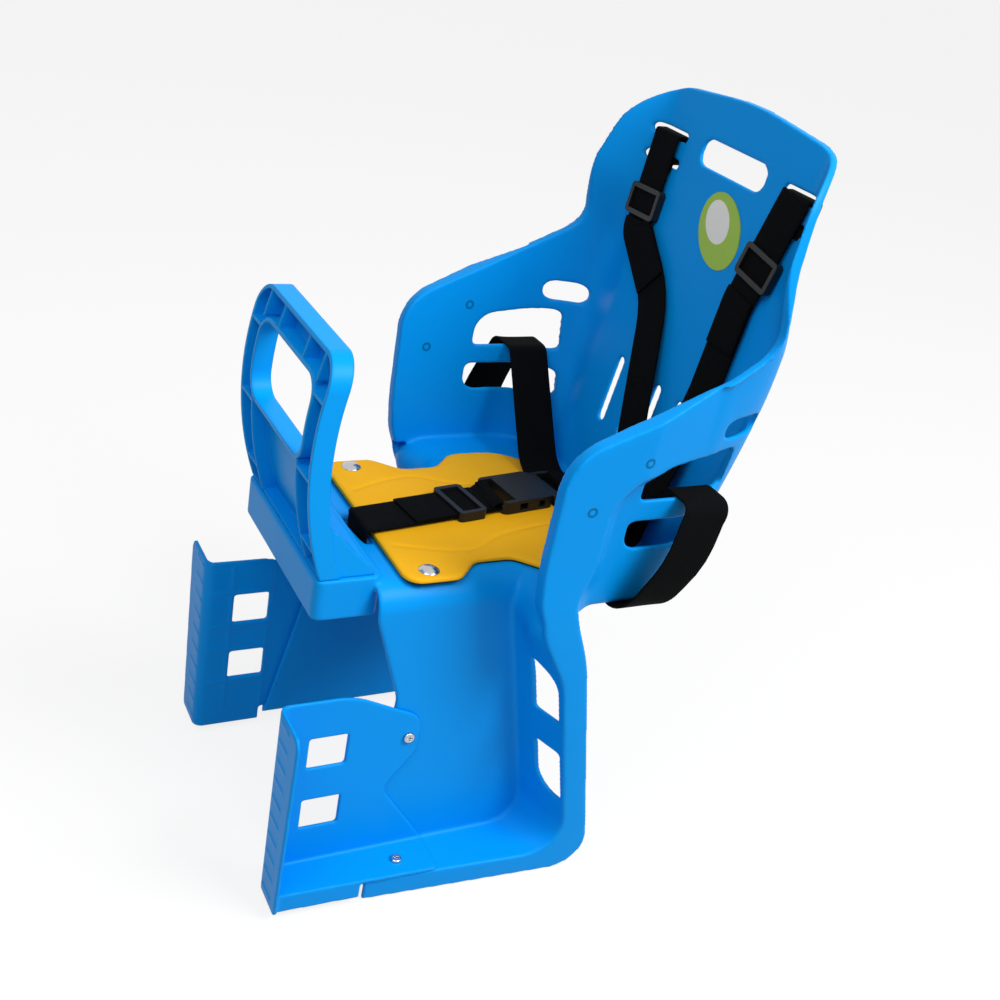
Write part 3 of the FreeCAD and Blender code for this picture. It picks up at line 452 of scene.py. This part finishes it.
# stations along corner points (place, bend radius): rounds each corner with an arc
def bendRoute(corners):
    points = [Vector(place) for place, radius in corners]
    stations = [points[0]]
    for index in range(1, len(points) - 1):
        here = points[index]
        arrive = here - points[index - 1]
        leave = points[index + 1] - here
        room = min(arrive.length, leave.length) * harness["reach"]
        arrive.normalize()
        leave.normalize()
        half = arrive.angle(leave) / 2
        reach = min(corners[index][1] * math.tan(half), room)
        count = max(1, round(math.degrees(half * 2) / harness["bend"]))
        for part in range(count + 1):
            share = part / count
            first = here - arrive * reach * (1 - share)
            second = here + leave * reach * share
            stations.append(first.lerp(second, share))
    stations.append(points[-1])
    route = [stations[0]]
    for station in stations[1:]:
        gap = (station - route[-1]).length
        if gap < harness["least"]:
            continue
        count = max(1, round(gap / harness["step"]))
        start = route[-1]
        route += [start.lerp(station, part / count) for part in range(1, count + 1)]
    return route


def addRibbon(name, corners, acrossWay, width, standsFor):
    route = bendRoute(corners)
    last = len(route) - 1
    tangents = []
    for index in range(last + 1):
        tangents.append((route[min(index + 1, last)] - route[max(index - 1, 0)]).normalized())
    run = [0.0]
    for index in range(last):
        run.append(run[-1] + (route[index + 1] - route[index]).length)
    bpy.ops.object.select_all(action="DESELECT")
    bpy.ops.mesh.primitive_grid_add(x_subdivisions=harness["rows"], y_subdivisions=last, size=1)
    piece = bpy.context.object
    piece.name = name
    mesh = piece.data
    rowOf = [round((vertex.co.y + 0.5) * last) for vertex in mesh.vertices]
    sideOf = [vertex.co.x for vertex in mesh.vertices]
    chart = mesh.uv_layers.active.data
    for loop in mesh.loops:
        row = rowOf[loop.vertex_index]
        chart[loop.index].uv = (sideOf[loop.vertex_index] * width * mm, run[row] * mm)
    hint = Vector(acrossWay)
    for vertex, row, side in zip(mesh.vertices, rowOf, sideOf):
        tangent = tangents[row]
        wide = (hint - tangent * hint.dot(tangent)).normalized()
        vertex.co = (route[row] + wide * side * width) * mm
    applyModifier(piece, "SOLIDIFY", {"thickness": harness["thick"] * mm, "offset": 0.0})
    hem = {"width": harness["hem"] * mm, "segments": harness["hemSegments"], "limit_method": "ANGLE"}
    applyModifier(piece, "BEVEL", hem)
    dress(piece, "webbing")
    finishPiece(piece, "seat", standsFor)
    return piece


def onBack(x, z, lift):
    return (x, harness["backAtPan"] + z * math.tan(math.radians(harness["recline"])) - lift, z)


# shoulder straps: the end goes through both slots, the run hangs down the backrest to the lap strap
shoulders = {
    "slotX": 84.0,
    "slotHigh": 292.0,
    "slotLow": 271.0,
    "lift": 4.5,
    "tailLift": 1.4,
    "tailEnd": 264.5,
    "bend": 1.9,
    "left": {"kink": (69.0, 208.0), "slant": (70.0, 128.0), "fold": (69.5, 172.0),
             "low": (65.0, 99.0, 44.0), "end": 65.0},
    "right": {"kink": (-79.6, 216.0), "slant": (-26.0, 176.0), "fold": (-36.0, 183.5),
              "low": (33.0, 99.0, 44.0), "end": 31.0},
    "foldShare": 0.93,
    "kinkBend": 17.0,
    "slantBend": 90.0,
    "lowBend": 40.0,
    "sewnBend": 7.6,
    "sewnFront": 62.0,
    "sewnRear": 91.4,
}


def addShoulderStrap(name, sign, way, node):
    x = sign * shoulders["slotX"]
    high = shoulders["slotHigh"]
    low = shoulders["slotLow"]
    behind = -harness["wall"] - ply
    lift = shoulders["lift"]
    small = shoulders["bend"]
    corners = [(onBack(x, shoulders["tailEnd"], shoulders["tailLift"]), 0)]
    corners += [(onBack(x, low, shoulders["tailLift"]), small), (onBack(x, low, behind), small)]
    corners += [(onBack(x, high, behind), small), (onBack(x, high, lift), small)]
    corners += [(onBack(*way["kink"], lift), shoulders["kinkBend"])]
    corners += [(onBack(*way["slant"], lift), shoulders["slantBend"])]
    corners += [(way["low"], shoulders["lowBend"])]
    corners += [((way["end"], shoulders["sewnRear"], sewnZ), shoulders["sewnBend"])]
    corners += [((way["end"], shoulders["sewnFront"], sewnZ), 0)]
    run = addRibbon(name, corners, (1, 0, 0), harness["narrow"], [node])
    # the end that comes back from the adjuster is sewn on the front of the run
    kink = Vector(onBack(*way["kink"], lift))
    top = Vector(onBack(x, high, lift)).lerp(kink, shoulders["foldShare"])
    ahead = Vector((0, -ply, 0))
    fold = [(top + ahead, 0), (kink + ahead, shoulders["kinkBend"])]
    fold += [(Vector(onBack(*way["fold"], lift)) + ahead, 0)]
    tail = addRibbon(name + "Fold", fold, (1, 0, 0), harness["narrow"], [])
    takeOnly(run)
    tail.select_set(True)
    bpy.ops.object.join()


addShoulderStrap("shoulderStrapLeft", 1, shoulders["left"], "shoulder_strap_left")
addShoulderStrap("shoulderStrapRight", -1, shoulders["right"], "shoulder_strap_right")
print("shoulder straps made")


# lap straps: from under the pan, up outside the wing in a loose loop, over the sill to the buckle
laps = {
    "underZ": -1.1,
    "underY": 75.0,
    "turnX": 152.0,
    "turnY": 50.0,
    "bellyX": 164.0,
    "bellyY": 72.0,
    "bellyZ": 48.0,
    "sillX": 156.0,
    "sillZ": 90.3,
    "y": 75.0,
    "sillY": 86.0,
    "insideX": 127.0,
    "footX": 54.0,
    "middleX": -16.4,
    "split": 0.1,
    "turnBend": 34.0,
    "bellyBend": 90.0,
    "sillBend": 12.0,
    "footBend": 40.0,
}


def addLapStrap(name, sign, node):
    y = laps["y"]
    inner = sign * laps["middleX"] + laps["split"]
    route = [((laps["split"], laps["underY"], laps["underZ"]), 0)]
    route += [((laps["footX"] / 2, laps["underY"], laps["underZ"]), laps["bellyBend"])]
    route += [((laps["turnX"], laps["turnY"], laps["underZ"]), laps["turnBend"])]
    route += [((laps["bellyX"], laps["bellyY"], laps["bellyZ"]), laps["bellyBend"])]
    route += [((laps["sillX"], laps["sillY"], laps["sillZ"]), laps["sillBend"])]
    route += [((laps["insideX"], laps["sillY"], laps["sillZ"]), laps["sillBend"])]
    route += [((laps["footX"], y, padStrapZ), laps["footBend"]), ((inner, y, padStrapZ), 0)]
    corners = [((sign * x, across, z), radius) for (x, across, z), radius in route]
    addRibbon(name, corners, (0, 1, 0), harness["wide"], [node])


addLapStrap("lapStrapLeft", 1, "lap_strap_left")
addLapStrap("lapStrapRight", -1, "lap_strap_right")
print("lap straps made")


# crotch strap and buckle strap lie on the pad along one slanted line
slanted = {"x": 10.0, "y": -113.0, "turn": 8.0}


def onPad(along, z):
    turn = math.radians(slanted["turn"])
    return (slanted["x"] - math.sin(turn) * along, slanted["y"] + math.cos(turn) * along, z)


crotch = {
    "lift": 2.3,          # room for the adjuster's bar under the strap
    "bar": 119.8,
    "wrap": 2.9,
    "rodWrap": 3.6,
    "tail": 40.0,
    "snug": 0.9,
}


def addCrotchStrap():
    low = padStrapZ + crotch["lift"]
    wrap = crotch["wrap"]
    rodWrap = crotch["rodWrap"]
    tight = wrap * crotch["snug"]
    rodTight = rodWrap * crotch["snug"]
    under = -ply - 2 * rodWrap
    turn = crotch["bar"] + wrap
    upper = low + 2 * wrap
    settle = crotch["bar"] - 2 * ply
    thin = harness["thick"]
    path = [(-2 * rodWrap, -ply, 0), (-2 * rodWrap, under, rodTight), (0, under, rodTight)]
    path += [(0, low, rodWrap), (turn, low, tight), (turn, upper, tight)]
    path += [(settle, upper, thin), (settle - 2 * wrap, low + ply, thin), (crotch["tail"], low + ply, 0)]
    corners = [(onPad(along, z), radius) for along, z, radius in path]
    addRibbon("crotchStrap", corners, (1, 0, 0), harness["wide"], ["crotch_strap"])


addCrotchStrap()


buckleTie = {"bar": 190.5, "barZ": 14.7, "wrap": 2.9, "end": 208.5, "settle": 202.1}


def addBuckleStrap():
    wrap = buckleTie["wrap"]
    bar = buckleTie["bar"]
    high = buckleTie["barZ"] + wrap
    low = buckleTie["barZ"] - wrap
    thin = harness["thick"]
    tight = wrap * crotch["snug"]
    path = [(buckleTie["end"], sewnZ + ply, 0), (buckleTie["settle"], sewnZ + ply, thin)]
    path += [(bar + thin, high, thin), (bar - wrap, high, tight), (bar - wrap, low, tight)]
    path += [(bar + thin, low, thin), (buckleTie["settle"], sewnZ, thin), (buckleTie["end"], sewnZ, 0)]
    corners = [(onPad(along, z), radius) for along, z, radius in path]
    addRibbon("buckleStrap", corners, (1, 0, 0), harness["wide"], ["buckle_strap"])


addBuckleStrap()
print("crotch and buckle straps made")


# foam pad with soft edges and two pressed creases that mirror each other
padShape = {
    "voxel": 1.6,
    "rounds": 5,
    "crease": [(43, -96), (56, -60), (57, -37), (42, -9), (32, 36), (34, 62)],
    "creaseSteps": 14,
    "creaseDepth": 1.1,
    "creaseWidth": 1.7,
    "fill": 0.9,
}


# smooth curve through the crease's points
def creaseLine():
    points = [Vector((x, y, 0)) for x, y in padShape["crease"]]
    line = []
    for index in range(len(points) - 1):
        before = points[max(index - 1, 0)]
        start, end = points[index], points[index + 1]
        after = points[min(index + 2, len(points) - 1)]
        for part in range(padShape["creaseSteps"]):
            t = part / padShape["creaseSteps"]
            curve = 2 * start + (end - before) * t
            curve += (2 * before - 5 * start + 4 * end - after) * t ** 2
            curve += (3 * start - before - 3 * end + after) * t ** 3
            line.append(curve / 2)
    return numpy.array([point[:2] for point in line]) * mm


def addSeatPad():
    piece = copyNode("seatPad", "seat_pad")
    mesh = piece.data
    easeEdges(piece, padShape["voxel"], padShape["rounds"])
    places = readPlaces(mesh)
    line = creaseLine()
    folded = numpy.stack([numpy.abs(places[:, 0]), places[:, 1]], axis=1)
    near = numpy.full(len(places), numpy.inf)
    for point in line:
        near = numpy.minimum(near, numpy.hypot(*(folded - point).T))
    low, high = places[:, 2].min(), places[:, 2].max()
    share = (places[:, 2] - low) / (high - low)
    press = numpy.exp(-(near / (padShape["creaseWidth"] * mm)) ** 2)
    places[:, 2] -= press * share * padShape["creaseDepth"] * mm
    writePlaces(mesh, places)
    dress(piece, "foam")
    finishPiece(piece, "seat", ["seat_pad"])
    bpy.ops.object.shade_smooth()


addSeatPad()
print("seat pad made")


# oval label on the backrest: a green border round a pale middle
label = {
    "x": 14.2,
    "z": 243.5,
    "halfWidth": 23.0,
    "halfHeight": 31.0,
    "lean": 46.0,
    "middle": 0.57,       # size of the pale oval, as a share of the label
    "middleUp": 7.6,
    "thick": 0.5,
    "lift": 0.35,
    "points": 72,
    "roughness": 0.42,
    "green": (0.30, 0.50, 0.045, 1),
    "pale": (0.80, 0.80, 0.76, 1),
}


def labelPrint(name, colour):
    finish = Finish(name)
    return finish.surface(Base_Color=colour, Roughness=label["roughness"])


def addLabel():
    bpy.ops.object.select_all(action="DESELECT")
    bpy.ops.mesh.primitive_circle_add(vertices=label["points"], radius=1, fill_type="NGON")
    piece = bpy.context.object
    piece.name = "backLabel"
    bpy.ops.object.mode_set(mode="EDIT")
    bpy.ops.mesh.select_all(action="SELECT")
    bpy.ops.transform.resize(value=(label["halfWidth"] * mm, label["halfHeight"] * mm, 1))
    bpy.ops.mesh.extrude_region_move()
    bpy.ops.transform.resize(value=(label["middle"], label["middle"], 1))
    bpy.ops.transform.translate(value=(0, label["middleUp"] * mm, 0))
    bpy.ops.object.mode_set(mode="OBJECT")
    piece.data.materials.append(labelPrint("labelGreen", label["green"]))
    piece.data.materials.append(labelPrint("labelPale", label["pale"]))
    for face in piece.data.polygons:
        face.material_index = 1 if face.select else 0
    applyModifier(piece, "SOLIDIFY", {"thickness": label["thick"] * mm, "offset": 0.0})
    piece.rotation_mode = "ZYX"
    piece.rotation_euler = (math.radians(90 - harness["recline"]), 0, math.radians(label["lean"]))
    piece.location = Vector(onBack(label["x"], label["z"], label["lift"])) * mm
    finishPiece(piece)


addLabel()
print("label made")


# floor and light
studio = {
    "floorSize": 80.0,
    "floorDrop": 0.001,
    "white": (0.46, 0.46, 0.46, 1),
    "seenWhite": (0.95, 0.95, 0.95, 1),
    "floorGlow": 0.84,
    "floorRough": 0.9,
    "skyStrength": 0.27,
    "keyPlace": (1.5, 1.0, 2.0),
    "keySize": 1.3,
    "keyPower": 71,
    "topPlace": (0.55, -0.75, 1.25),
    "topSize": 0.9,
    "topPower": 9,
    "aim": (0.0, 0.0, 0.05),
}


# 1 where the camera or a reflection sees a surface
def seenDirectly(tree):
    path = tree.nodes.new("ShaderNodeLightPath")
    return Tone(tree, path.outputs["Is Camera Ray"]) + Tone(tree, path.outputs["Is Glossy Ray"])


def floorFinish():
    finish = Finish("paleFloor")
    tree = finish.tree
    glow = tree.nodes.new("ShaderNodeEmission")
    mix = tree.nodes.new("ShaderNodeMixShader")
    seen = seenDirectly(tree)
    share = seen * studio["floorGlow"]
    tree.links.new(share.socket, mix.inputs[0])
    tree.links.new(finish.shader.outputs[0], mix.inputs[1])
    tree.links.new(glow.outputs[0], mix.inputs[2])
    tree.links.new(mix.outputs[0], tree.nodes["Material Output"].inputs["Surface"])
    tint = finish.blend(seen, studio["white"], studio["seenWhite"])
    return finish.surface(Base_Color=tint, Roughness=studio["floorRough"])


def addFloor():
    bpy.ops.object.select_all(action="DESELECT")
    level = cadBox[0][2] - studio["floorDrop"]
    bpy.ops.mesh.primitive_plane_add(size=studio["floorSize"], location=(0, 0, level))
    floor = bpy.context.object
    floor.name = "floor"
    bpy.ops.object.transform_apply(location=True, rotation=True, scale=True)
    floor.data.materials.append(floorFinish())


def addLamp(name, place, size, power):
    bpy.ops.object.light_add(type="AREA", location=place)
    lamp = bpy.context.object
    lamp.name = name
    lamp.data.size = size
    lamp.data.energy = power
    lamp.rotation_euler = (Vector(studio["aim"]) - Vector(place)).to_track_quat("-Z", "Y").to_euler()


def addSky():
    world = bpy.data.worlds.new("whiteRoom")
    bpy.context.scene.world = world
    world.use_nodes = True
    tree = world.node_tree
    back = tree.nodes["Background"]
    level = seenDirectly(tree) * (1 - studio["skyStrength"]) + studio["skyStrength"]
    tree.links.new(level.socket, back.inputs["Strength"])
    back.inputs["Color"].default_value = (1, 1, 1, 1)


addFloor()
addLamp("keyLamp", studio["keyPlace"], studio["keySize"], studio["keyPower"])
addLamp("topLamp", studio["topPlace"], studio["topSize"], studio["topPower"])
addSky()
print("floor and light set")


# camera at the photograph's angle
viewFrom = {
    "place": (0.7847, -0.4659, 0.4846),
    "turn": (62.458, -9.797, 63.802),
    "lens": 46.8,
    "sensor": 36.0,
}
turned = [math.radians(angle) for angle in viewFrom["turn"]]
bpy.ops.object.camera_add(location=viewFrom["place"], rotation=turned)
camera = bpy.context.object
camera.data.lens = viewFrom["lens"]
camera.data.sensor_width = viewFrom["sensor"]
camera.data.sensor_fit = "HORIZONTAL"
scene = bpy.context.scene
scene.camera = camera
scene.view_settings.view_transform = "Standard"
